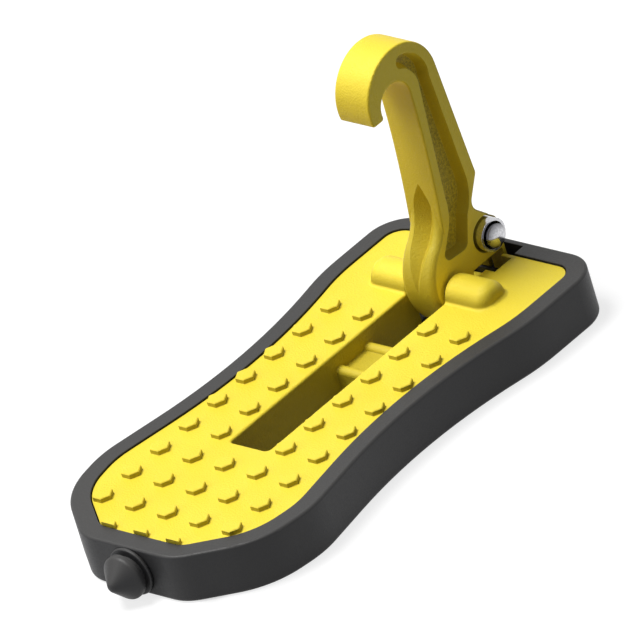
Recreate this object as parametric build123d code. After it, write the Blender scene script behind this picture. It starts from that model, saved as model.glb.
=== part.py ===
from build123d import *
import os
from math import cos, radians, sin, sqrt, tan

# Folding car door latch step: a studded foot plate in a black rubber surround, with a hook that
# stands up on a cross pin at the back and folds forward into the slot of the plate.
# Millimetres. X is across, +Y is the hinge end, +Z is up. Z = 0 is the underside, and Y = 0 is
# the middle of the whole length, so that the origin is the middle of the underside.

# Overall size and the levels of the foot
BASE_LENGTH = 157.7
REAR_REACH = 26.0
RIM_TOP = 14.9
RIM_STEP = 0.5
LIP_THICKNESS = 2.0
LIP_WIDTH = 5.0
SEAT_GAP = 0.1

# Rubber surround
RUBBER_BULGE = 0.9
RIM_ROUND = 0.8
RIM_WIDTH = 5.2
PLATE_GAP = 0.35
FOOT_EDGE_RADIUS = 1.2
BEAD_REACH = 2.4
BEAD_HEIGHT = 2.6
NOTCH_WALL = 1.1

# Corner points of the rim's outer line: half width, and place as a share of the whole length
NOSE_HALF = 16.6
CHEEK_HALF = 35.6
CHEEK_SHARE = 0.0932
BALL_HALF = 38.7
BALL_SHARE = 0.2054
WAIST_HALF = 29.2
WAIST_SHARE = 0.539
HEEL_HALF = 38.0
HEEL_SHARE = 0.1972
NOSE_RADIUS = 12.0
CHEEK_RADIUS = 25.0
BALL_RADIUS = 30.0
WAIST_BEND = 0.97
FLANK_RADIUS = 60.0
HEEL_RADIUS = 10.4

# Foot plate casting
TOP_WALL = 3.5
SKIRT_WALL = 3.0
RIB_WALL = 2.0
RIB_PITCH = 24.0
SLOT_HALF = 7.1
SLOT_AHEAD = 80.6
SLOT_CORNER = 1.4
SLOT_EDGE_RADIUS = 0.8
WIDE_HALF = 11.0
WIDE_START = 11.6
EAR_WALL = 1.2
TIE_HEIGHT = 3.5
STUD_PITCH = 12.0
STUD_RADIUS = 2.97
STUD_HEIGHT = 1.5
STUD_CHAMFER = 0.25
STUD_FIRST = 18.4
STUD_ROWS = 10
STUD_COLUMNS = 2
STUD_KEEP = 0.4
HUMP_RADIUS = 5.5
HUMP_END = 22.0
HUMP_ROUND = 3.5
HUMP_BLEND = 1.0
BOSS_HALF = 9.0
BOSS_DEPTH = 10.6

# Cross bars that the folded hook lies on
BRIDGE_REAR_RIDGE = 24.0
BRIDGE_FRONT_RIDGE = 35.8
RIDGE_RADIUS = 1.7
RIDGE_DEPTH = 4.3
BRIDGE_FLOOR = 5.7

# Pivot pin, its washers, keepers and screws
PIN_DIAMETER = 6.0
PIN_HALF = 18.0
PIN_CHAMFER = 0.4
RUNNING_FIT = 0.05
WASHER_RADIUS = 4.4
KEEPER_PLATE = 1.6
KEEPER_GAP = 0.2
KEEPER_MARGIN = 1.0
SCREW_DIAMETER = 3.0
SCREW_LENGTH = 8.0
SCREW_HEAD_RADIUS = 2.75
SCREW_HEAD_HEIGHT = 1.8
SCREW_SPREAD = 6.1
SOCKET_RADIUS = 1.15
SOCKET_DEPTH = 1.0

# Hook, measured from the pivot: first how far behind it, then how far above it
HOOK_HALF = 6.3
HEAD_CENTRE = (2.96, 63.0)
HEAD_RADIUS = 14.0
MOUTH_CENTRE = (-0.55, 61.7)
MOUTH_RADIUS = 5.85
TIP_LEVEL = 59.8
TIP_CORNER = 0.9
ARM_LEAN = 4.1
ARM_KNEE = 26.6
KNEE_RADIUS = 1.5
ARM_FRONT_FOOT = (2.8, 23.4)
HUB_LEVEL = -10.4
HUB_BACK = 7.2
HUB_ROUND = 4.0
HEEL_UNDER = 1.0
HEEL_UNDER_START = 8.6
LUG_START = 20.4
LUG_FRONT = 20.8
LUG_SPLIT = 1.8
LUG_ROUND = 0.4
HEEL_BACK = 22.1
HEEL_TOP = 10.5
HEEL_ROUND = 2.0
THROAT = (14.2, 18.4)
THROAT_RADIUS = 3.4
STOP_GAP = 0.2
STOP_DEPTH = 7.0
HOOK_EDGE = 0.6

# Front lobes of the hook, in the same measure
BULGE_TOP = (-1.8, 14.6)
BULGE_FRONT = (-7.3, 2.6)
BULGE_FOOT = (-3.0, -9.0)
LOBE_ROOT_LOW = (3.0, -8.0)
LOBE_ROOT_HIGH = (6.0, 20.0)
LOBE_EDGE = 2.2

# Side pocket of the hook, in the same measure
POCKET_DEPTH = 3.3
POCKET_DRAFT = 20.0

# V groove down the front of the hook, in the same measure
LEAF_TOP = (3.8, 31.4)
LEAF_MIDDLE = (5.8, 23.0)
LEAF_BEND = (4.1, 17.2)
LEAF_LOW = (-0.8, 11.6)
LEAF_FOOT = (-7.6, 1.0)
LEAF_REACH = 4.0
LEAF_FLANK = 41.0

# Stud and collar on the side of the heel
STUD_CENTRE = (16.8, 8.3)
COLLAR_RADIUS = 4.8
COLLAR_BORE = 4.0
COLLAR_REACH = 2.6
COLLAR_SEAT_RADIUS = 5.4
COLLAR_SEAT_DEPTH = 2.4
HEAD_DISC_RADIUS = 3.45
HEAD_DISC_REACH = 3.9
HEAD_DOME = 1.5
SHANK_RADIUS = 2.0
SHANK_LENGTH = 5.0

# Window breaker point and its cap
POINT_RADIUS = 3.0
POINT_LENGTH = 7.0
POINT_TIP = 0.6
POINT_SHOULDER = 2.6
POINT_SHANK = 16.0
NOSE_BOSS_WALL = 2.0
CAP_FLANGE_RADIUS = 7.3
CAP_FLANGE = 1.2
CAP_GROOVE_RADIUS = 5.2
CAP_GROOVE_END = 2.5
CAP_RADIUS = 6.7
CAP_BARREL = 4.4
CAP_TIP_RADIUS = 2.5
CAP_EDGE = 0.4
CAP_SHOULDER = 1.4
CAP_REACH = 9.6

# Values that follow from those above
PLATE_TOP = RIM_TOP - RIM_STEP
PIVOT_Y = (BASE_LENGTH + CAP_REACH) / 2 - REAR_REACH
FRONT_LINE = PIVOT_Y + REAR_REACH - BASE_LENGTH + RUBBER_BULGE
REAR_LINE = PIVOT_Y + REAR_REACH - RUBBER_BULGE
FRONT_FACE = FRONT_LINE - RUBBER_BULGE
PLATE_REAR = REAR_LINE - RIM_WIDTH
PLATE_FRONT = FRONT_LINE + RIM_WIDTH
SKIRT_FOOT = LIP_THICKNESS + SEAT_GAP
STOP_TOP = PLATE_TOP - STOP_DEPTH
PIN_RADIUS = PIN_DIAMETER / 2
PIN_BORE = PIN_RADIUS + RUNNING_FIT
NOSE_Z = CAP_FLANGE_RADIUS + SEAT_GAP
TIE_TOP = SKIRT_FOOT + TIE_HEIGHT


def half_turn(before, corner, after):
    """Tangent of half the angle that a line turns through at this corner."""
    first = Vector(*corner) - Vector(*before)
    second = Vector(*after) - Vector(*corner)
    return tan(radians(first.get_angle(second) / 2))


def moved_corner(before, corner, after, grow):
    """Where the corner goes when both its sides move outward by grow, and if it points outward."""
    first = (Vector(*corner) - Vector(*before)).normalized()
    second = (Vector(*after) - Vector(*corner)).normalized()
    shift = Vector(first.Y + second.Y, -first.X - second.X) * (grow / (1 + first.dot(second)))
    return (corner[0] + shift.X, corner[1] + shift.Y), first.cross(second).Z > 0


def rim_line(grow=0.0):
    """Face inside the outer edge of the rim's flat top, with that edge moved outward by grow."""
    right = [
        (NOSE_HALF, FRONT_LINE),
        (CHEEK_HALF, FRONT_LINE + CHEEK_SHARE * BASE_LENGTH),
        (BALL_HALF, FRONT_LINE + BALL_SHARE * BASE_LENGTH),
        (WAIST_HALF, FRONT_LINE + WAIST_SHARE * BASE_LENGTH),
        (HEEL_HALF, REAR_LINE - HEEL_SHARE * BASE_LENGTH),
        (HEEL_HALF, REAR_LINE),
    ]
    flank_run = FLANK_RADIUS * half_turn(*right[3:6])
    waist_run = (Vector(*right[4]) - Vector(*right[3])).length - flank_run
    waist_radius = WAIST_BEND * waist_run / half_turn(*right[2:5])
    radii = [NOSE_RADIUS, CHEEK_RADIUS, BALL_RADIUS, waist_radius, FLANK_RADIUS, HEEL_RADIUS]
    left_ends = [(-NOSE_HALF, FRONT_LINE), (-HEEL_HALF, REAR_LINE)]
    chain = left_ends[:1] + right + left_ends[1:]
    outline = []
    bends = []
    for before, corner, after, radius in zip(chain, chain[1:], chain[2:], radii):
        place, outward = moved_corner(before, corner, after, grow)
        outline.append(place)
        bends.append(radius + grow if outward else radius - grow)
    left = [(-x, y) for x, y in reversed(outline)]
    return make_face(FilletPolyline(*outline, *left, radius=bends + bends[::-1], close=True))


def prism(face, low, high):
    """The face pulled up from one level to another."""
    return extrude(Pos(0, 0, low) * face, high - low)


def block(x0, x1, y0, y1, z0, z1):
    """Block between two corners."""
    return Pos((x0 + x1) / 2, (y0 + y1) / 2, (z0 + z1) / 2) * Box(x1 - x0, y1 - y0, z1 - z0)


def rod(radius, x0, x1, y=0.0, z=0.0):
    """Round bar along X."""
    return Pos((x0 + x1) / 2, y, z) * Rot(0, 90, 0) * Cylinder(radius, x1 - x0)


def both_sides(shape):
    """The shape and its mirror image across the middle plane."""
    return shape + mirror(shape, Plane.YZ)


def rubber_surround():
    """Moulded rubber ring with a flat rim, a bottom lip and a groove that grips the plate's bead."""
    outside = rim_line(RUBBER_BULGE)
    inside = PLATE_GAP - RIM_WIDTH
    groove_top = SKIRT_FOOT + BEAD_HEIGHT + SEAT_GAP
    body = prism(outside - rim_line(inside - LIP_WIDTH), 0, LIP_THICKNESS)
    body += prism(outside - rim_line(inside + BEAD_REACH), LIP_THICKNESS, groove_top)
    body += prism(outside - rim_line(inside), groove_top, RIM_TOP)
    body = fillet(body.faces().sort_by(Axis.Z)[-1].outer_wire().edges(), RIM_ROUND)
    body = fillet(body.faces().sort_by(Axis.Z)[0].outer_wire().edges(), FOOT_EDGE_RADIUS)
    body -= block(-WIDE_HALF, WIDE_HALF, PLATE_REAR - RIM_WIDTH, REAR_LINE - NOTCH_WALL, STOP_TOP, RIM_TOP)
    shank_hole = Cylinder(POINT_RADIUS + SEAT_GAP, 4 * RIM_WIDTH)
    return body - Pos(0, FRONT_FACE, NOSE_Z) * Rot(90, 0, 0) * shank_hole


def studs(plate_face):
    """Raised hexagon studs on a square grid, clipped where the plate ends."""
    plate_column = prism(plate_face, 0, PLATE_TOP + STUD_HEIGHT)
    outline = RegularPolygon(STUD_RADIUS, 6)
    result = []
    for row in range(STUD_ROWS):
        ahead = STUD_FIRST + row * STUD_PITCH
        for column in range(-STUD_COLUMNS, STUD_COLUMNS + 1):
            in_slot = abs(column * STUD_PITCH) < SLOT_HALF + STUD_RADIUS
            if in_slot and ahead < SLOT_AHEAD + STUD_RADIUS:
                continue
            foot = prism(outline, PLATE_TOP - STUD_HEIGHT, PLATE_TOP + STUD_HEIGHT)
            stud = chamfer(foot.faces().sort_by(Axis.Z)[-1].edges(), STUD_CHAMFER)
            stud = Pos(column * STUD_PITCH, PIVOT_Y - ahead, 0) * stud
            clipped = stud & plate_column
            if clipped and clipped.volume > STUD_KEEP * stud.volume:
                result.append(clipped)
    return result


def pin_humps():
    """Half round humps over the pin's two ends, with domed outer ends."""
    turn = HUMP_ROUND * (1 - sqrt(0.5))
    section = make_face([
        Line((0, 0), (0, HUMP_RADIUS)),
        Line((0, HUMP_RADIUS), (HUMP_END - HUMP_ROUND, HUMP_RADIUS)),
        ThreePointArc((HUMP_END - HUMP_ROUND, HUMP_RADIUS), (HUMP_END - turn, HUMP_RADIUS - turn),
                      (HUMP_END, HUMP_RADIUS - HUMP_ROUND)),
        Line((HUMP_END, HUMP_RADIUS - HUMP_ROUND), (HUMP_END, 0)),
        Line((HUMP_END, 0), (0, 0)),
    ])
    hump = Pos(0, PIVOT_Y, PLATE_TOP) * revolve(section, Axis.X)
    return both_sides(hump)


def slot_space(low, high):
    """The air of the slot: the long narrow part and the wide part behind the pin."""
    front = PIVOT_Y - SLOT_AHEAD
    narrow = block(-SLOT_HALF, SLOT_HALF, front, PLATE_REAR, low, high)
    front_corners = narrow.edges().filter_by(Axis.Z).group_by(Axis.Y)[0]
    narrow = fillet(front_corners, SLOT_CORNER)
    wide = block(-WIDE_HALF, WIDE_HALF, PIVOT_Y + WIDE_START, PLATE_REAR - EAR_WALL, low, high)
    return narrow + wide


def bridge():
    """Block across the slot with two rounded ridges, the bed of the folded arm."""
    rear = PIVOT_Y - BRIDGE_REAR_RIDGE + RIDGE_RADIUS
    front = PIVOT_Y - BRIDGE_FRONT_RIDGE - RIDGE_RADIUS
    wide = SLOT_HALF + SKIRT_WALL
    ridge_z = PLATE_TOP - RIDGE_DEPTH - RIDGE_RADIUS
    body = block(-wide, wide, front, rear, SKIRT_FOOT, PLATE_TOP - BRIDGE_FLOOR)
    body += rod(RIDGE_RADIUS, -wide, wide, PIVOT_Y - BRIDGE_REAR_RIDGE, ridge_z)
    body += rod(RIDGE_RADIUS, -wide, wide, PIVOT_Y - BRIDGE_FRONT_RIDGE, ridge_z)
    return body


def underside_ribs(hollow):
    """Thin cross ribs in the hollow underside, clipped to it."""
    ribs = []
    half = BALL_HALF + RIM_WIDTH
    y = PIVOT_Y - BRIDGE_REAR_RIDGE
    while y > PLATE_FRONT + RIB_PITCH / 2:
        ribs.append(block(-half, half, y - RIB_WALL / 2, y + RIB_WALL / 2, SKIRT_FOOT, PLATE_TOP - RIB_WALL))
        y -= RIB_PITCH
    return [rib & hollow for rib in ribs]


def pin_channel():
    """U shaped channel that the pin goes into from below, on one side."""
    end = PIN_HALF + KEEPER_GAP
    arch = rod(PIN_BORE, 0, end, PIVOT_Y, PLATE_TOP)
    return arch + block(0, end, PIVOT_Y - PIN_BORE, PIVOT_Y + PIN_BORE, 0, PLATE_TOP)


def screw_places():
    """Centres of the four keeper screws."""
    middle = (SLOT_HALF + HUMP_END) / 2
    return [(sx * middle, PIVOT_Y + sy * SCREW_SPREAD) for sx in (-1, 1) for sy in (-1, 1)]


def slot_rim_edges(body):
    """Upper edges of the slot ahead of the humps."""
    level = body.edges().filter_by_position(Axis.Z, PLATE_TOP - SEAT_GAP, PLATE_TOP + SEAT_GAP)
    return [edge for edge in level if abs(edge.center().X) < SLOT_HALF + SEAT_GAP
            and PIVOT_Y - SLOT_AHEAD - SEAT_GAP < edge.center().Y < PIVOT_Y - HUMP_RADIUS]


def hump_foot_edges(body):
    """Lines along which the humps meet the plate's surface, front, back and outer end."""
    level = body.edges().filter_by_position(Axis.Z, PLATE_TOP - SEAT_GAP, PLATE_TOP + SEAT_GAP)
    return [edge for edge in level if abs(edge.center().X) < HUMP_END + SEAT_GAP
            and abs(edge.center().Y - PIVOT_Y) < HUMP_RADIUS + SEAT_GAP]


def foot_plate():
    """Die cast plate: top wall, skirt, slot cheeks, ribs, bosses, bridge, rear tie and studs."""
    face = rim_line(-RIM_WIDTH)
    body = prism(face, SKIRT_FOOT, PLATE_TOP)
    bead = prism(rim_line(BEAD_REACH - RIM_WIDTH), SKIRT_FOOT, SKIRT_FOOT + BEAD_HEIGHT)
    hollow = prism(rim_line(-RIM_WIDTH - SKIRT_WALL), SKIRT_FOOT, PLATE_TOP - TOP_WALL)
    body += bead
    body -= hollow

    cheek = SLOT_HALF + SKIRT_WALL
    wide_cheek = WIDE_HALF + SKIRT_WALL
    cheek_front = PIVOT_Y - SLOT_AHEAD - SKIRT_WALL
    cheek_back = PIVOT_Y + WIDE_START - SKIRT_WALL
    body += block(-cheek, cheek, cheek_front, PLATE_REAR, SKIRT_FOOT, PLATE_TOP)
    body += block(-wide_cheek, wide_cheek, cheek_back, PLATE_REAR, SKIRT_FOOT, PLATE_TOP)
    body += underside_ribs(hollow)
    boss_low = PLATE_TOP - BOSS_DEPTH
    body += block(-HUMP_END, HUMP_END, PIVOT_Y - BOSS_HALF, PIVOT_Y + BOSS_HALF, boss_low, PLATE_TOP)
    nose_boss_end = PLATE_FRONT + POINT_SHANK
    upward = (Align.CENTER, Align.CENTER, Align.MIN)
    nose_boss = Cylinder(POINT_RADIUS + NOSE_BOSS_WALL, POINT_SHANK, align=upward)
    body += Pos(0, nose_boss_end, NOSE_Z) * Rot(90, 0, 0) * nose_boss
    body += pin_humps()
    body = fillet(hump_foot_edges(body), HUMP_BLEND)
    body -= slot_space(0, PLATE_TOP + HUMP_RADIUS)
    body = fillet(slot_rim_edges(body), SLOT_EDGE_RADIUS)
    body += bridge()
    body += block(-cheek, cheek, PLATE_REAR - SKIRT_WALL, PLATE_REAR, SKIRT_FOOT, TIE_TOP)
    body -= both_sides(pin_channel())
    screw_depth = SCREW_LENGTH - KEEPER_PLATE
    for x, y in screw_places():
        body -= Pos(x, y, boss_low) * Cylinder(SCREW_DIAMETER / 2 + RUNNING_FIT, 2 * screw_depth)
    body -= nose_hole()
    return body + studs(face)


def nose_hole():
    """Blind hole for the breaker point's shank, along Y."""
    hole = Cylinder(POINT_RADIUS + RUNNING_FIT, POINT_SHANK, align=(Align.CENTER, Align.CENTER, Align.MIN))
    return Pos(0, PLATE_FRONT + POINT_SHANK - SKIRT_WALL, NOSE_Z) * Rot(90, 0, 0) * hole


def place_on_pivot(shape):
    """Move a shape modelled about the pivot to its place on the plate."""
    return Pos(0, PIVOT_Y, PLATE_TOP) * shape


def arm_front():
    """Front edge of the arm, from the mouth of the head down to where the lobes start."""
    mouth_back = (MOUTH_CENTRE[0] + MOUTH_RADIUS, MOUTH_CENTRE[1])
    return TangentArc(mouth_back, ARM_FRONT_FOOT, tangent=(0, -1))


def hook_outline():
    """Side outline of the hook without its front lobes."""
    lean = radians(ARM_LEAN)
    back_top = (HEAD_CENTRE[0] + HEAD_RADIUS * cos(lean), HEAD_CENTRE[1] + HEAD_RADIUS * sin(lean))
    knee = (back_top[0] + (back_top[1] - ARM_KNEE) * tan(lean), ARM_KNEE)
    crown = (HEAD_CENTRE[0] - HEAD_RADIUS * sin(lean), HEAD_CENTRE[1] + HEAD_RADIUS * cos(lean))
    drop = HEAD_CENTRE[1] - TIP_LEVEL
    tip_front = (HEAD_CENTRE[0] - sqrt(HEAD_RADIUS**2 - drop**2), TIP_LEVEL)
    rise = MOUTH_CENTRE[1] - TIP_LEVEL
    tip_back = (MOUTH_CENTRE[0] - sqrt(MOUTH_RADIUS**2 - rise**2), TIP_LEVEL)
    mouth_top = (MOUTH_CENTRE[0], MOUTH_CENTRE[1] + MOUTH_RADIUS)
    front = arm_front()
    slope = front % 1
    hub_front = ARM_FRONT_FOOT[0] + (HUB_LEVEL - ARM_FRONT_FOOT[1]) * slope.X / slope.Y
    lug_foot = STOP_GAP - STOP_DEPTH
    corners = [
        ((hub_front, HUB_LEVEL), HUB_ROUND),
        ((HUB_BACK, HUB_LEVEL), HUB_ROUND),
        ((HEEL_UNDER_START, HEEL_UNDER), LUG_ROUND),
        ((LUG_START, HEEL_UNDER), LUG_ROUND),
        ((LUG_FRONT, lug_foot), LUG_ROUND),
        ((HEEL_BACK, lug_foot), LUG_ROUND),
        ((HEEL_BACK, HEEL_TOP), HEEL_ROUND),
        (THROAT, THROAT_RADIUS),
        (knee, KNEE_RADIUS),
    ]
    foot_and_back = FilletPolyline(ARM_FRONT_FOOT, *[point for point, _ in corners], back_top,
                                   radius=[radius for _, radius in corners])
    lines = [
        ThreePointArc(back_top, crown, tip_front),
        Line(tip_front, tip_back),
        ThreePointArc(tip_back, mouth_top, front @ 0),
        front,
        foot_and_back,
    ]
    face = make_face(lines)
    tip_corners = face.vertices().sort_by(Axis.X)[:2]
    return Plane.YZ * fillet(tip_corners, TIP_CORNER)


def front_lobes():
    """The two swellings down the front of the hub, one solid before the leaf groove parts them."""
    neck = TangentArc(ARM_FRONT_FOOT, BULGE_TOP, tangent=arm_front() % 1)
    upper = TangentArc(BULGE_TOP, BULGE_FRONT, tangent=neck % 1)
    lower = TangentArc(BULGE_FRONT, BULGE_FOOT, tangent=upper % 1)
    root = Polyline(BULGE_FOOT, LOBE_ROOT_LOW, LOBE_ROOT_HIGH, ARM_FRONT_FOOT)
    body = extrude(Plane.YZ * make_face([neck, upper, lower, root]), HOOK_HALF, both=True)
    side_edges = body.faces().sort_by(Axis.X)[-1].edges() + body.faces().sort_by(Axis.X)[0].edges()
    return fillet(side_edges.filter_by(GeomType.CIRCLE), LOBE_EDGE)


def pocket_outline():
    """Outline of the hook's side pocket, on the YZ plane."""
    lines = [
        Line((8.0, 49.4), (9.0, 62.2)),
        ThreePointArc((9.0, 62.2), (8.0, 66.4), (4.7, 69.6)),
        ThreePointArc((4.7, 69.6), (3.2, 72.0), (6.0, 73.4)),
        ThreePointArc((6.0, 73.4), (11.4, 70.0), (13.4, 62.0)),
        Line((13.4, 62.0), (15.6, 28.0)),
        ThreePointArc((15.6, 28.0), (14.9, 22.6), (12.2, 17.4)),
        Line((12.2, 17.4), (9.6, 10.6)),
        ThreePointArc((9.6, 10.6), (8.6, 9.2), (6.8, 8.8)),
        Line((6.8, 8.8), (2.0, 9.2)),
        ThreePointArc((2.0, 9.2), (0.3, 10.6), (0.8, 12.6)),
        Line((0.8, 12.6), (4.4, 18.0)),
        ThreePointArc((4.4, 18.0), (5.8, 21.6), (6.3, 26.4)),
        Line((6.3, 26.4), (8.0, 49.4)),
    ]
    return Plane.YZ * make_face(lines)


def leaf_groove():
    """Leaf shaped V groove down the front of the arm: a wedge that thins away from the middle."""
    reach = (LEAF_FOOT[0] * 2, LEAF_TOP[1])
    upper = ThreePointArc(LEAF_TOP, LEAF_MIDDLE, LEAF_BEND)
    middle = TangentArc(LEAF_BEND, LEAF_LOW, tangent=upper % 1)
    lower = TangentArc(LEAF_LOW, LEAF_FOOT, tangent=middle % 1)
    wedge = Plane.YZ * make_face([
        upper,
        middle,
        lower,
        Line(LEAF_FOOT, (reach[0], LEAF_FOOT[1])),
        Line((reach[0], LEAF_FOOT[1]), reach),
        Line(reach, LEAF_TOP),
    ])
    return both_sides(extrude(wedge, LEAF_REACH, dir=(1, 0, 0), taper=LEAF_FLANK))


def hook():
    """Cast hook: arm with two side pockets, curled head, hub on the pin and a heel with a lug."""
    body = extrude(hook_outline(), HOOK_HALF, both=True)
    sides = body.faces().sort_by(Axis.X)
    body = fillet(sides[0].edges() + sides[-1].edges(), HOOK_EDGE)
    body += front_lobes()
    mouth = Pos(HOOK_HALF, 0, 0) * pocket_outline()
    body -= both_sides(extrude(mouth, POCKET_DEPTH, dir=(-1, 0, 0), taper=POCKET_DRAFT))
    body -= leaf_groove()
    body -= block(-LUG_SPLIT / 2, LUG_SPLIT / 2, HEEL_UNDER_START, HEEL_BACK, -STOP_DEPTH, HEEL_UNDER)
    body -= rod(PIN_BORE, -HOOK_HALF, HOOK_HALF)
    seat = HOOK_HALF - COLLAR_SEAT_DEPTH
    body -= rod(COLLAR_SEAT_RADIUS, seat, HOOK_HALF, *STUD_CENTRE)
    body -= rod(SHANK_RADIUS + RUNNING_FIT, seat - SHANK_LENGTH, seat, *STUD_CENTRE)
    return place_on_pivot(body)


def heel_collar():
    """Thin turned ring standing out of its seat in the heel."""
    seat = HOOK_HALF - COLLAR_SEAT_DEPTH
    end = HOOK_HALF + COLLAR_REACH
    ring = rod(COLLAR_RADIUS, seat, end, *STUD_CENTRE) - rod(COLLAR_BORE, seat, end, *STUD_CENTRE)
    return place_on_pivot(ring)


def heel_stud():
    """Domed steel stud inside the collar, with a shank pressed into the heel."""
    seat = HOOK_HALF - COLLAR_SEAT_DEPTH
    rim = HOOK_HALF + HEAD_DISC_REACH
    dome_radius = (HEAD_DISC_RADIUS**2 + HEAD_DOME**2) / (2 * HEAD_DOME)
    disc = rod(HEAD_DISC_RADIUS, seat, rim + HEAD_DOME)
    disc &= Pos(rim + HEAD_DOME - dome_radius, 0, 0) * Sphere(dome_radius) + rod(HEAD_DISC_RADIUS, seat, rim)
    stud = disc + rod(SHANK_RADIUS, seat - SHANK_LENGTH, seat)
    return place_on_pivot(Pos(0, *STUD_CENTRE) * stud)


def pivot_pin():
    """Plain steel cross pin with broken edges."""
    pin = rod(PIN_RADIUS, -PIN_HALF, PIN_HALF)
    return place_on_pivot(chamfer(pin.edges().filter_by(GeomType.CIRCLE), PIN_CHAMFER))


def thrust_washer(side):
    """Thin washer that fills the space between the hook and a cheek of the slot."""
    inner = HOOK_HALF + SEAT_GAP
    outer = SLOT_HALF - SEAT_GAP
    ring = rod(WASHER_RADIUS, inner, outer) - rod(PIN_BORE, inner, outer)
    ring = place_on_pivot(ring)
    return ring if side > 0 else mirror(ring, Plane.YZ)


def pin_keeper(side):
    """Flat keeper under a boss, with a tongue that holds the pin up in its channel."""
    boss_low = PLATE_TOP - BOSS_DEPTH
    inner = SLOT_HALF + SKIRT_WALL + KEEPER_GAP
    outer = HUMP_END - KEEPER_MARGIN
    deep = BOSS_HALF - KEEPER_MARGIN / 2
    tongue = PIN_BORE - KEEPER_GAP / 2
    keeper = block(inner, outer, PIVOT_Y - deep, PIVOT_Y + deep, boss_low - KEEPER_PLATE, boss_low)
    tongue_top = PLATE_TOP - PIN_RADIUS
    keeper += block(SLOT_HALF + KEEPER_GAP, PIN_HALF, PIVOT_Y - tongue, PIVOT_Y + tongue, boss_low, tongue_top)
    for x, y in screw_places():
        if x > 0:
            keeper -= Pos(x, y, boss_low) * Cylinder(SCREW_DIAMETER / 2 + RUNNING_FIT, 4 * KEEPER_PLATE)
    return keeper if side > 0 else mirror(keeper, Plane.YZ)


def keeper_screws():
    """Four pan head screws that hold the two keepers."""
    seat = PLATE_TOP - BOSS_DEPTH - KEEPER_PLATE
    up = (Align.CENTER, Align.CENTER, Align.MIN)
    down = (Align.CENTER, Align.CENTER, Align.MAX)
    head = Cylinder(SCREW_HEAD_RADIUS, SCREW_HEAD_HEIGHT, align=down)
    head = fillet(head.edges().group_by(Axis.Z)[0], SCREW_HEAD_HEIGHT / 3)
    socket = Pos(0, 0, -SCREW_HEAD_HEIGHT) * extrude(RegularPolygon(SOCKET_RADIUS, 6), SOCKET_DEPTH)
    screw = head + Cylinder(SCREW_DIAMETER / 2, SCREW_LENGTH, align=up) - socket
    return Compound([Pos(x, y, seat) * screw for x, y in screw_places()])


def breaker_point():
    """Hard steel point for breaking a window, screwed into the nose of the plate."""
    start = PLATE_FRONT + POINT_SHANK - SKIRT_WALL
    shank = start - FRONT_FACE
    section = make_face(Polyline((0, 0), (POINT_RADIUS, 0), (POINT_RADIUS, shank + POINT_SHOULDER),
                                 (POINT_TIP, shank + POINT_LENGTH - POINT_TIP / 2),
                                 (0, shank + POINT_LENGTH), (0, 0)))
    point = revolve(section, Axis.Y)
    return Pos(0, start, NOSE_Z) * Rot(0, 0, 180) * point


def nose_cap():
    """Pull off rubber cap: flange, finger groove, short barrel and blunt cone."""
    tip_side = CAP_REACH - CAP_TIP_RADIUS * (1 - sqrt(0.5))
    tip_edge = CAP_TIP_RADIUS * sqrt(0.5)
    outside = make_face([
        Line((0, SEAT_GAP), (CAP_FLANGE_RADIUS, SEAT_GAP)),
        Line((CAP_FLANGE_RADIUS, SEAT_GAP), (CAP_FLANGE_RADIUS, CAP_FLANGE)),
        Line((CAP_FLANGE_RADIUS, CAP_FLANGE), (CAP_GROOVE_RADIUS, CAP_FLANGE + RUNNING_FIT)),
        Line((CAP_GROOVE_RADIUS, CAP_FLANGE + RUNNING_FIT), (CAP_GROOVE_RADIUS, CAP_GROOVE_END)),
        Line((CAP_GROOVE_RADIUS, CAP_GROOVE_END), (CAP_RADIUS, CAP_GROOVE_END)),
        Line((CAP_RADIUS, CAP_GROOVE_END), (CAP_RADIUS, CAP_BARREL)),
        Line((CAP_RADIUS, CAP_BARREL), (tip_edge, tip_side)),
        ThreePointArc((tip_edge, tip_side), (CAP_TIP_RADIUS * sin(radians(22.5)),
                      CAP_REACH - CAP_TIP_RADIUS * (1 - cos(radians(22.5)))), (0, CAP_REACH)),
        Line((0, CAP_REACH), (0, SEAT_GAP)),
    ])
    cap = revolve(outside, Axis.Y)
    rings = cap.edges().filter_by(GeomType.CIRCLE).group_by(SortBy.RADIUS)
    shoulder = [edge for edge in rings[-2] if edge.center().Y > CAP_GROOVE_END + SEAT_GAP]
    cap = fillet(shoulder, CAP_SHOULDER)
    rings = cap.edges().filter_by(GeomType.CIRCLE)
    outer = [edge for edge in rings if edge.radius > CAP_RADIUS - SEAT_GAP
             and edge.center().Y < CAP_GROOVE_END + SEAT_GAP]
    cap = fillet(outer, CAP_EDGE)
    bore = POINT_RADIUS + RUNNING_FIT
    inside = make_face(Polyline((0, 0), (bore, 0), (bore, POINT_SHOULDER + RUNNING_FIT),
                                (POINT_TIP + RUNNING_FIT, POINT_LENGTH + RUNNING_FIT),
                                (0, POINT_LENGTH + SEAT_GAP), (0, 0)))
    cap -= revolve(inside, Axis.Y)
    return Pos(0, FRONT_FACE, NOSE_Z) * Rot(0, 0, 180) * cap


def main():
    """Build every piece and write it under its own name."""
    pieces = {
        "foot_plate": foot_plate(),
        "rubber_surround": rubber_surround(),
        "hook": hook(),
        "heel_stud": heel_stud(),
        "heel_collar": heel_collar(),
        "pivot_pin": pivot_pin(),
        "thrust_washer_left": thrust_washer(-1),
        "thrust_washer_right": thrust_washer(1),
        "pin_keeper_left": pin_keeper(-1),
        "pin_keeper_right": pin_keeper(1),
        "keeper_screws": keeper_screws(),
        "breaker_point": breaker_point(),
        "nose_cap": nose_cap(),
    }
    os.makedirs("parts", exist_ok=True)
    for name, shape in pieces.items():
        export_step(shape, f"parts/{name}.step")


main()
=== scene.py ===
from math import cos, radians, sin

import bmesh
import bpy
from mathutils import Matrix, Quaternion, Vector


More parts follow.
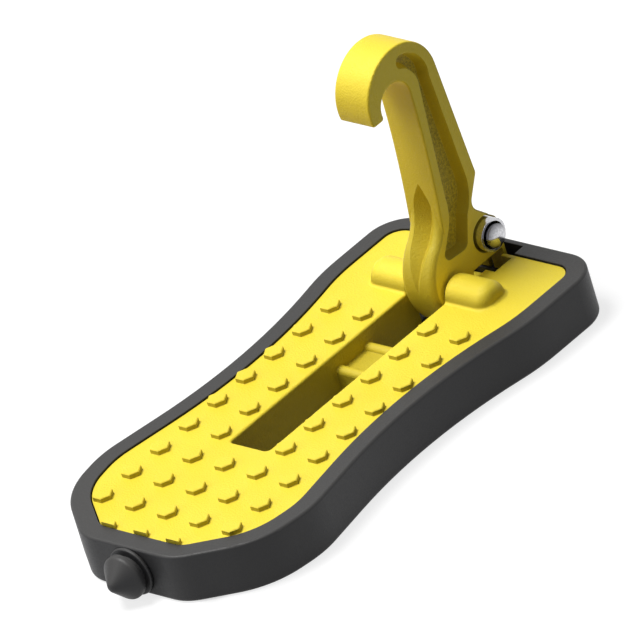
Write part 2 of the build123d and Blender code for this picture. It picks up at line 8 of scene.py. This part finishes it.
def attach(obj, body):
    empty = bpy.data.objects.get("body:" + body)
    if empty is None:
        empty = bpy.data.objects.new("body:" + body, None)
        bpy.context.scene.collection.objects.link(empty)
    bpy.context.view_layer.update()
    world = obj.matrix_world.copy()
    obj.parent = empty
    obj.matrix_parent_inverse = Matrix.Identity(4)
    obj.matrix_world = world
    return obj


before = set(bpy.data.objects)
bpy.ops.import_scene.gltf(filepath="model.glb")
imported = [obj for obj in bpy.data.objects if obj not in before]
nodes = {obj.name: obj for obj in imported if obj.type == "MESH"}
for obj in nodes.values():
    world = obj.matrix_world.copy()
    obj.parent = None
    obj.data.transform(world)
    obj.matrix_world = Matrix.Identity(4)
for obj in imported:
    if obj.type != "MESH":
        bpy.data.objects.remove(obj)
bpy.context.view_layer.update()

# Door latch step: a yellow cast foot plate in a black rubber surround, with a cast hook that
# stands up at its back and a rubber cap on its nose. Metres. X is across, Y runs from the nose
# to the hinge end, and Z is up from the surface that the rubber lies on.


# Foot plate.
# One die casting in aluminium: a thin top with hexagon studs, a slot down the middle, two humps
# over the cross pin and a bridge with two ridges. It is blasted and then powder coated yellow. Its
# walls and the level ground deep in its slot have painted shade in their colour.

PAINT_YELLOW = (0.95, 0.765, 0.056, 1)
# Thin coat along edges, lighter, with a painted highlight on them.
PAINT_THIN_AND_LIT = (0.98, 0.82, 0.11, 1)
PAINT_DEEP = (0.91, 0.71, 0.040, 1)
# Painted shade: the colour of walls, and of level ground deep in the slot and in the hook's pockets, and the
# shares of it on walls.
PAINT_WALL_SHADE = (0.40, 0.32, 0.016, 1)
PAINT_HOLLOW_SHADE = (0.36, 0.28, 0.014, 1)
WALL_SHADE_SHARE = 0.95
SIDE_WALL_SHADE_SHARE = 0.8
# Painted shade deep in the slot: it grows from the first height down to the second, up to a share, and is
# weaker on the walls.
DEEP_FROM = 0.0138
DEEP_TO = 0.0085
DEEP_SHADE_SHARE = 0.6
DEEP_SHADE_ON_WALLS = 0.2


class Finish:
    """A material with its shader, and short ways to add the nodes that drive it."""

    def __init__(self, name):
        self.material = bpy.data.materials.new(name)
        self.material.use_nodes = True
        self.tree = self.material.node_tree
        self.shader = self.tree.nodes["Principled BSDF"]
        self.place = self.tree.nodes.new("ShaderNodeTexCoord").outputs["Object"]

    def link(self, source, target):
        self.tree.links.new(source, target)

    def noise(self, grain, detail=3.0, roughness=0.55):
        """Cloudy pattern whose patches are about grain metres wide."""
        node = self.tree.nodes.new("ShaderNodeTexNoise")
        node.inputs["Scale"].default_value = 1 / grain
        node.inputs["Detail"].default_value = detail
        node.inputs["Roughness"].default_value = roughness
        self.link(self.place, node.inputs["Vector"])
        return node.outputs["Fac"]

    def cells(self, grain):
        """Pattern of small rounded cells about grain metres wide."""
        node = self.tree.nodes.new("ShaderNodeTexVoronoi")
        node.inputs["Scale"].default_value = 1 / grain
        self.link(self.place, node.inputs["Vector"])
        return node.outputs["Distance"]

    def span(self, source, low, high, start=0.0, end=1.0):
        """The source's range from low to high, spread from start to end."""
        node = self.tree.nodes.new("ShaderNodeMapRange")
        for name, value in (("From Min", low), ("From Max", high), ("To Min", start), ("To Max", end)):
            node.inputs[name].default_value = value
        self.link(source, node.inputs["Value"])
        return node.outputs["Result"]

    def spread(self, pattern, start=0.0, end=1.0):
        """A cloudy pattern, whose values keep near the middle, spread from start to end."""
        return self.span(pattern, 0.3, 0.7, start, end)

    def blend(self, share, first, second):
        """First colour where share is 0, second where it is 1."""
        node = self.tree.nodes.new("ShaderNodeMix")
        node.data_type = "RGBA"
        self.link(share, node.inputs["Factor"])
        for socket, value in ((node.inputs[6], first), (node.inputs[7], second)):
            if isinstance(value, tuple):
                socket.default_value = value
            else:
                self.link(value, socket)
        return node.outputs[2]

    def math(self, kind, first, second):
        """Two values joined by one sum."""
        node = self.tree.nodes.new("ShaderNodeMath")
        node.operation = kind
        for socket, value in zip(node.inputs, (first, second)):
            if isinstance(value, (int, float)):
                socket.default_value = value
            else:
                self.link(value, socket)
        return node.outputs["Value"]

    def soft_edges(self, radius):
        """Normal of a surface whose edges are rounded by the coat on them."""
        node = self.tree.nodes.new("ShaderNodeBevel")
        node.samples = 6
        node.inputs["Radius"].default_value = radius
        return node.outputs["Normal"]

    def edges(self, radius, low, high):
        """0 on flat ground and up to 1 along edges and corners, over about radius."""
        bevel = self.soft_edges(radius)
        geometry = self.tree.nodes.new("ShaderNodeNewGeometry")
        dot = self.tree.nodes.new("ShaderNodeVectorMath")
        dot.operation = "DOT_PRODUCT"
        self.link(bevel, dot.inputs[0])
        self.link(geometry.outputs["Normal"], dot.inputs[1])
        return self.span(dot.outputs["Value"], high, low)

    def facing(self, axis):
        """How squarely the surface faces along an axis, either way round, from 0 to 1."""
        geometry = self.tree.nodes.new("ShaderNodeNewGeometry")
        parts = self.tree.nodes.new("ShaderNodeSeparateXYZ")
        self.link(geometry.outputs["Normal"], parts.inputs[0])
        return self.math("ABSOLUTE", parts.outputs[axis], 0)

    def steep(self):
        """0 on level ground and 1 on upright walls."""
        return self.span(self.facing("Z"), 0.75, 0.25)

    def sideways(self):
        """0 on most ground and 1 on walls that face straight to the left or right."""
        return self.span(self.facing("X"), 0.86, 0.95)

    def along(self, axis):
        """Place on one axis of the step, in metres."""
        parts = self.tree.nodes.new("ShaderNodeSeparateXYZ")
        self.link(self.place, parts.inputs[0])
        return parts.outputs[axis]

    def off_middle(self, axis):
        """Distance from the step's middle along one axis, either way."""
        return self.math("ABSOLUTE", self.along(axis), 0)

    def bump(self, height, depth, normal=None, strength=1.0):
        """Raised and sunk ground, depth metres from lowest to highest."""
        node = self.tree.nodes.new("ShaderNodeBump")
        node.inputs["Strength"].default_value = strength
        node.inputs["Distance"].default_value = depth
        self.link(height, node.inputs["Height"])
        if normal:
            self.link(normal, node.inputs["Normal"])
        return node.outputs["Normal"]

    def wear_on(self, *names):
        """Put the finish on CAD nodes."""
        for name in names:
            mesh = nodes[name].data
            mesh.materials.clear()
            mesh.materials.append(self.material)


def yellow_coat(name, wall_shade_colour, side_share, hollow_shade):
    """Powder coat with painted shade: darker on walls, on those to the side by a share, and where the given
    mask says; edges lighter in patches.
    """
    paint = Finish(name)
    clouds = paint.noise(grain=0.03, detail=4.0)
    flow = paint.noise(grain=0.0013, detail=2.0)
    cast = paint.noise(grain=0.00055, detail=3.0, roughness=0.6)
    grain = paint.noise(grain=0.00025, detail=2.0)
    patches = paint.span(paint.noise(grain=0.006, detail=5.0), 0.35, 0.62)
    # Edges are lighter in patches: the coat is thin there, and a highlight is painted on them.
    thin = paint.math("MULTIPLY", paint.edges(radius=0.0006, low=0.80, high=0.985), patches)
    colour = paint.blend(paint.spread(clouds), PAINT_DEEP, PAINT_YELLOW)
    # Walls are painted darker as shade, those to the side by their own share.
    wall_shade_share = paint.span(paint.sideways(), 0, 1, WALL_SHADE_SHARE, side_share)
    colour = paint.blend(paint.math("MULTIPLY", paint.steep(), wall_shade_share), colour, wall_shade_colour)
    # Painted shade in the places that the given mask picks.
    colour = paint.blend(hollow_shade(paint, cast), colour, PAINT_HOLLOW_SHADE)
    colour = paint.blend(paint.math("MULTIPLY", thin, 0.5), colour, PAINT_THIN_AND_LIT)
    paint.link(colour, paint.shader.inputs["Base Color"])
    dull = paint.spread(grain, 0.40, 0.56)
    dull = paint.math("SUBTRACT", dull, paint.math("MULTIPLY", thin, 0.08))
    paint.link(dull, paint.shader.inputs["Roughness"])
    skin = paint.bump(flow, depth=0.00010, normal=paint.soft_edges(0.00025), strength=0.6)
    skin = paint.bump(cast, depth=0.00026, normal=skin, strength=0.8)
    skin = paint.bump(grain, depth=0.00003, normal=skin, strength=0.6)
    paint.link(skin, paint.shader.inputs["Normal"])
    paint.shader.inputs["Specular IOR Level"].default_value = 0.34
    return paint


def shade_deep_in_slot(paint, cast):
    """Share of painted shade on level ground deep in the slot, and less of it on the walls there."""
    deep = paint.span(paint.along("Z"), DEEP_FROM, DEEP_TO, 0, DEEP_SHADE_SHARE)
    return paint.math("MULTIPLY", deep, paint.span(paint.steep(), 0, 1, 1, DEEP_SHADE_ON_WALLS))


plate_paint = yellow_coat("yellow_powder_coat", PAINT_WALL_SHADE, SIDE_WALL_SHADE_SHARE, shade_deep_in_slot)
plate_paint.wear_on("foot_plate")


# Hook.
# A second casting in the same paint: an arm with a pocket in each side, a curled head that goes
# over the door's striker, and a hub that turns on the cross pin. Shade is painted into its colour on
# its walls that face forward and back, on its pocket floors, speckled by the cast grain, and low down near
# the plate.

# Painted shade: colour of the hook's forward and back walls, pocket floors and low front.
HOOK_WALL_SHADE = (0.67, 0.495, 0.018, 1)
POCKET_MOUTH = 0.0056
POCKET_FLOOR = 0.0046
FOOT_FROM = 0.055
FOOT_TO = 0.026
FOOT_SHADE_SHARE = 0.6


def shade_in_pockets_and_foot(paint, cast):
    """Share of painted shade on the pocket floors, speckled by the cast grain, and low on the hook except
    its sides.
    """
    depth = paint.span(paint.off_middle("X"), POCKET_MOUTH, POCKET_FLOOR)
    floor = paint.math("MULTIPLY", depth, paint.sideways())
    floor = paint.math("MULTIPLY", floor, paint.span(cast, 0.35, 0.65, 0.45, 1.0))
    foot = paint.span(paint.along("Z"), FOOT_FROM, FOOT_TO, 0, FOOT_SHADE_SHARE)
    foot = paint.math("MULTIPLY", foot, paint.span(paint.sideways(), 0, 1, 1, 0))
    return paint.math("MAXIMUM", floor, foot)


hook_paint = yellow_coat("yellow_hook_coat", HOOK_WALL_SHADE, 0.0, shade_in_pockets_and_foot)
hook_paint.wear_on("hook")


# Cut studs at the nose.
# Three more studs of the plate's casting, in the next row of its grid. The plate ends across them,
# so only their back halves stand up, against the rubber rim.

STUD_PITCH = 0.012
FIRST_ROW_AHEAD = 0.0184
ROWS_BEHIND = 9
STUD_TURN = radians(30)
STUD_RADIUS = 0.00297
STUD_HEIGHT = 0.0015
STUD_CHAMFER = 0.00025
STUD_SINK = 0.0003
BEAD_REACH = 0.0024


def middle_of(name):
    """Middle of a CAD node's box."""
    corners = [Vector(corner) for corner in nodes[name].bound_box]
    return sum(corners, Vector()) / len(corners)


def show(name, shape, finish):
    """Make the shape an object of its own in the scene, in this finish."""
    bmesh.ops.recalc_face_normals(shape, faces=shape.faces)
    mesh = bpy.data.meshes.new(name)
    shape.to_mesh(mesh)
    shape.free()
    mesh.materials.append(finish)
    piece = bpy.data.objects.new(name, mesh)
    bpy.context.scene.collection.objects.link(piece)
    return piece


pin_middle = middle_of("pivot_pin")
plate_end = min(corner[1] for corner in nodes["foot_plate"].bound_box) + BEAD_REACH
row_ahead = FIRST_ROW_AHEAD + ROWS_BEHIND * STUD_PITCH
row_place = Vector((0, pin_middle.y - row_ahead, pin_middle.z - STUD_SINK))
shape = bmesh.new()
for column in (-1, 0, 1):
    place = Matrix.Translation(row_place + Vector((column * STUD_PITCH, 0, 0)))
    place = place @ Matrix.Rotation(STUD_TURN, 4, "Z")
    foot = bmesh.ops.create_circle(shape, cap_ends=True, segments=6, radius=STUD_RADIUS, matrix=place)
    face = foot["verts"][0].link_faces[0]
    raised = bmesh.ops.extrude_face_region(shape, geom=[face], use_keep_orig=True)["geom"]
    top = [item for item in raised if isinstance(item, bmesh.types.BMVert)]
    bmesh.ops.translate(shape, verts=top, vec=(0, 0, STUD_HEIGHT + STUD_SINK))
    rim = [item for item in raised if isinstance(item, bmesh.types.BMEdge)]
    bmesh.ops.bevel(shape, geom=rim, offset=STUD_CHAMFER, affect="EDGES", segments=1, profile=0.5,
                    material=-1)
cut = bmesh.ops.bisect_plane(shape, geom=shape.verts[:] + shape.edges[:] + shape.faces[:],
                             plane_co=(0, plate_end, 0), plane_no=(0, -1, 0), clear_outer=True)
open_edges = [item for item in cut["geom_cut"] if isinstance(item, bmesh.types.BMEdge)]
bmesh.ops.holes_fill(shape, edges=open_edges, sides=0)
nose_studs = show("nose_studs", shape, plate_paint.material)
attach(nose_studs, "base")


# Rubber surround.
# Moulded black rubber ring that is stretched over the bead round the plate's foot. Its skin has
# the fine dull grain of the mould and scuffs on its edges; light is painted into its level top, which is
# lighter than its walls.

RUBBER_BLACK = (0.014, 0.014, 0.015, 1)
RUBBER_GREY = (0.019, 0.019, 0.020, 1)
# Painted light: colour of level ground, lighter than the walls.
RUBBER_LIT_TOP = (0.035, 0.034, 0.033, 1)
RUBBER_SCUFF = (0.085, 0.084, 0.081, 1)

rubber = Finish("black_rubber")
clouds = rubber.noise(grain=0.022, detail=5.0, roughness=0.6)
grain = rubber.noise(grain=0.00035, detail=3.0)
pores = rubber.cells(grain=0.00055)
patches = rubber.span(rubber.noise(grain=0.004, detail=6.0, roughness=0.65), 0.5, 0.75)
scuff = rubber.math("MULTIPLY", rubber.edges(radius=0.0009, low=0.86, high=0.99), patches)
colour = rubber.blend(rubber.spread(clouds), RUBBER_BLACK, RUBBER_GREY)
# Painted light and shade: level ground takes the lighter colour, walls the darker one.
colour = rubber.blend(rubber.steep(), RUBBER_LIT_TOP, colour)
colour = rubber.blend(rubber.math("MULTIPLY", scuff, 0.5), colour, RUBBER_SCUFF)
rubber.link(colour, rubber.shader.inputs["Base Color"])
rubber.link(rubber.spread(grain, 0.42, 0.58), rubber.shader.inputs["Roughness"])
skin = rubber.bump(grain, depth=0.00005, normal=rubber.soft_edges(0.0004), strength=0.5)
skin = rubber.bump(pores, depth=0.00003, normal=skin, strength=0.35)
rubber.link(skin, rubber.shader.inputs["Normal"])
rubber.shader.inputs["Specular IOR Level"].default_value = 0.36
rubber.wear_on("rubber_surround", "nose_cap")


# Heel stud and its collar.
# The stud is turned, domed and polished, and a reflection is painted into its colour, which grows
# darker from its middle towards its edge. The collar is a thin turned ring of the same steel,
# standing out of a seat in the heel.

STEEL_BRIGHT = (0.66, 0.66, 0.68, 1)
STEEL_GREY = (0.46, 0.46, 0.48, 1)
# Painted reflection: darker colour towards the stud's edge, between these distances from its axis.
STEEL_PAINTED_DARK = (0.12, 0.12, 0.13, 1)
PAINTED_DARK_FROM = 0.0018
PAINTED_DARK_TO = 0.0034
COLLAR_FROM = 0.0037
COLLAR_TO = 0.0039

chrome = Finish("bright_steel")
offset = chrome.tree.nodes.new("ShaderNodeVectorMath")
offset.operation = "SUBTRACT"
offset.inputs[1].default_value = middle_of("heel_stud")
chrome.link(chrome.place, offset.inputs[0])
across = chrome.tree.nodes.new("ShaderNodeVectorMath")
across.operation = "MULTIPLY"
across.inputs[1].default_value = (0, 1, 1)
chrome.link(offset.outputs["Vector"], across.inputs[0])
reach = chrome.tree.nodes.new("ShaderNodeVectorMath")
reach.operation = "LENGTH"
chrome.link(across.outputs["Vector"], reach.inputs[0])
swirl = chrome.noise(grain=0.0007, detail=4.0)
colour = chrome.blend(chrome.spread(swirl), STEEL_BRIGHT, STEEL_GREY)
# Painted reflection: the stud darkens from its middle towards its edge, inside the collar.
painted_dark_rim = chrome.math("MULTIPLY", chrome.span(reach.outputs["Value"], PAINTED_DARK_FROM, PAINTED_DARK_TO, 0, 0.85),
                       chrome.span(reach.outputs["Value"], COLLAR_FROM, COLLAR_TO, 1, 0))
colour = chrome.blend(painted_dark_rim, colour, STEEL_PAINTED_DARK)
chrome.link(colour, chrome.shader.inputs["Base Color"])
chrome.link(chrome.spread(swirl, 0.12, 0.24), chrome.shader.inputs["Roughness"])
skin = chrome.bump(swirl, depth=0.00001, normal=chrome.soft_edges(0.0001), strength=0.3)
chrome.link(skin, chrome.shader.inputs["Normal"])
chrome.shader.inputs["Metallic"].default_value = 1.0
chrome.wear_on("heel_stud", "heel_collar")


# Cross pin, keepers, screws and breaker point.
# Plain zinc plated steel: a drawn pin, two stamped keepers, four screws, and a ground point that
# is screwed into the nose.

ZINC_BRIGHT = (0.56, 0.57, 0.60, 1)
ZINC_DULL = (0.42, 0.42, 0.43, 1)

steel = Finish("plated_steel")
clouds = steel.noise(grain=0.004, detail=5.0)
grain = steel.noise(grain=0.0003, detail=3.0)
colour = steel.blend(steel.spread(clouds), ZINC_BRIGHT, ZINC_DULL)
steel.link(colour, steel.shader.inputs["Base Color"])
steel.link(steel.spread(grain, 0.26, 0.42), steel.shader.inputs["Roughness"])
skin = steel.bump(grain, depth=0.00002, normal=steel.soft_edges(0.00015), strength=0.4)
steel.link(skin, steel.shader.inputs["Normal"])
steel.shader.inputs["Metallic"].default_value = 1.0
steel.wear_on("pivot_pin", "pin_keeper_left", "pin_keeper_right", "keeper_screws", "breaker_point")


# Thrust washers.
# Thin washers of black nylon, which keep the hook in the middle of the slot.

NYLON_BLACK = (0.030, 0.030, 0.032, 1)
NYLON_GREY = (0.048, 0.048, 0.050, 1)

nylon = Finish("black_nylon")
clouds = nylon.noise(grain=0.003, detail=4.0)
colour = nylon.blend(nylon.spread(clouds), NYLON_BLACK, NYLON_GREY)
nylon.link(colour, nylon.shader.inputs["Base Color"])
nylon.link(nylon.spread(clouds, 0.42, 0.55), nylon.shader.inputs["Roughness"])
nylon.link(nylon.bump(nylon.noise(grain=0.0004), depth=0.00002, strength=0.4), nylon.shader.inputs["Normal"])
nylon.wear_on("thrust_washer_left", "thrust_washer_right")


# Table that it stands on.
# Plain white board. It shows itself to the camera and in reflections as white, and takes the soft
# shadow of the step; a shadow is painted under the step, where the board's white is switched off.

FLOOR_HALF = 3.0
FLOOR_GAP = 0.0001
# Painted shadow under the step: the board's white is switched off in this blurred rectangle.
SHADOW_HALF_WIDTH = 0.026
SHADOW_HALF_LENGTH = 0.072
SHADOW_BLUR = 0.008
BOARD_GREY = (0.30, 0.30, 0.30, 1)
BOARD_WHITE = 0.78


def white_to_eye(tree, strength):
    """Value that is strength for the camera and for reflections, and 0 for other light."""
    path = tree.nodes.new("ShaderNodeLightPath")
    total = path.outputs["Is Camera Ray"]
    for name in ("Is Glossy Ray", "Is Transmission Ray"):
        node = tree.nodes.new("ShaderNodeMath")
        node.operation = "MAXIMUM"
        tree.links.new(total, node.inputs[0])
        tree.links.new(path.outputs[name], node.inputs[1])
        total = node.outputs["Value"]
    node = tree.nodes.new("ShaderNodeMath")
    node.operation = "MULTIPLY"
    tree.links.new(total, node.inputs[0])
    node.inputs[1].default_value = strength
    return node.outputs["Value"]


board = Finish("white_board")
board.shader.inputs["Base Color"].default_value = BOARD_GREY
board.shader.inputs["Roughness"].default_value = 0.9
board.shader.inputs["Specular IOR Level"].default_value = 0.1
board.shader.inputs["Emission Color"].default_value = (1, 1, 1, 1)
# Painted shadow: no white inside the step's outline.
crosswise = board.span(board.off_middle("X"), SHADOW_HALF_WIDTH, SHADOW_HALF_WIDTH - SHADOW_BLUR)
lengthways = board.span(board.off_middle("Y"), SHADOW_HALF_LENGTH, SHADOW_HALF_LENGTH - SHADOW_BLUR)
outside_painted_shadow = board.math("SUBTRACT", 1.0, board.math("MULTIPLY", crosswise, lengthways))
shown = board.math("MULTIPLY", white_to_eye(board.tree, BOARD_WHITE), outside_painted_shadow)
board.link(shown, board.shader.inputs["Emission Strength"])
shape = bmesh.new()
bmesh.ops.create_grid(shape, x_segments=1, y_segments=1, size=FLOOR_HALF,
                      matrix=Matrix.Translation((0, 0, -FLOOR_GAP)))
table_top = show("table_top", shape, board.material)


# Studio light.
# A white room for fill, a large soft lamp overhead, and a lower one in front of the nose on the
# left, so that the right side of the hook stays in its own shade.

ROOM_LEVEL = 0.13

world = bpy.data.worlds.new("studio")
bpy.context.scene.world = world
world.use_nodes = True
tree = world.node_tree
tree.nodes.clear()
output = tree.nodes.new("ShaderNodeOutputWorld")
room = tree.nodes.new("ShaderNodeBackground")
room.inputs["Color"].default_value = (1, 1, 1, 1)
fill = tree.nodes.new("ShaderNodeMath")
fill.operation = "MAXIMUM"
fill.inputs[1].default_value = ROOM_LEVEL
tree.links.new(white_to_eye(tree, 1.0), fill.inputs[0])
tree.links.new(fill.outputs["Value"], room.inputs["Strength"])
tree.links.new(room.outputs["Background"], output.inputs["Surface"])


def soft_lamp(name, toward, distance, size, watts):
    """Square lamp that shines at the middle of the step."""
    data = bpy.data.lights.new(name, "AREA")
    data.shape = "SQUARE"
    data.size = size
    data.energy = watts
    lamp = bpy.data.objects.new(name, data)
    direction = Vector(toward).normalized()
    lamp.location = direction * distance
    lamp.rotation_mode = "QUATERNION"
    lamp.rotation_quaternion = direction.to_track_quat("Z", "Y")
    bpy.context.scene.collection.objects.link(lamp)


soft_lamp("key_lamp", toward=(-0.25, -0.2, 1.0), distance=1.3, size=0.6, watts=18.2)
soft_lamp("fill_lamp", toward=(-0.5, -0.8, 0.45), distance=1.4, size=0.6, watts=3.4)


# Camera.
# A long lens from far off, because the picture shows the step almost without perspective. The
# picture is turned a little, as the step lies askew in it.

VIEW_AZIMUTH = radians(50.0)
VIEW_HEIGHT = radians(30.0)
VIEW_ROLL = radians(-17.07)
PICTURE_WIDTH = 640
PIXELS_PER_METRE = 3676
PIVOT_RIGHT = 118.2 / PIXELS_PER_METRE
PIVOT_UP = 32.6 / PIXELS_PER_METRE
LENS = 1000.0
SENSOR = 36.0
SIGHT_END = 50.0

level = cos(VIEW_HEIGHT)
back = Vector((sin(VIEW_AZIMUTH) * level, -cos(VIEW_AZIMUTH) * level, sin(VIEW_HEIGHT)))
turn = (-back).to_track_quat("-Z", "Y") @ Quaternion((0, 0, 1), VIEW_ROLL)
middle = pin_middle - turn @ Vector((PIVOT_RIGHT, PIVOT_UP, 0))
lens = bpy.data.cameras.new("camera")
lens.lens = LENS
lens.sensor_width = SENSOR
lens.clip_end = SIGHT_END
camera = bpy.data.objects.new("camera", lens)
camera.rotation_mode = "QUATERNION"
camera.rotation_quaternion = turn
camera.location = middle + back * (PICTURE_WIDTH / PIXELS_PER_METRE * LENS / SENSOR)
bpy.context.scene.collection.objects.link(camera)
bpy.context.scene.camera = camera
bpy.context.scene.view_settings.view_transform = "Standard"
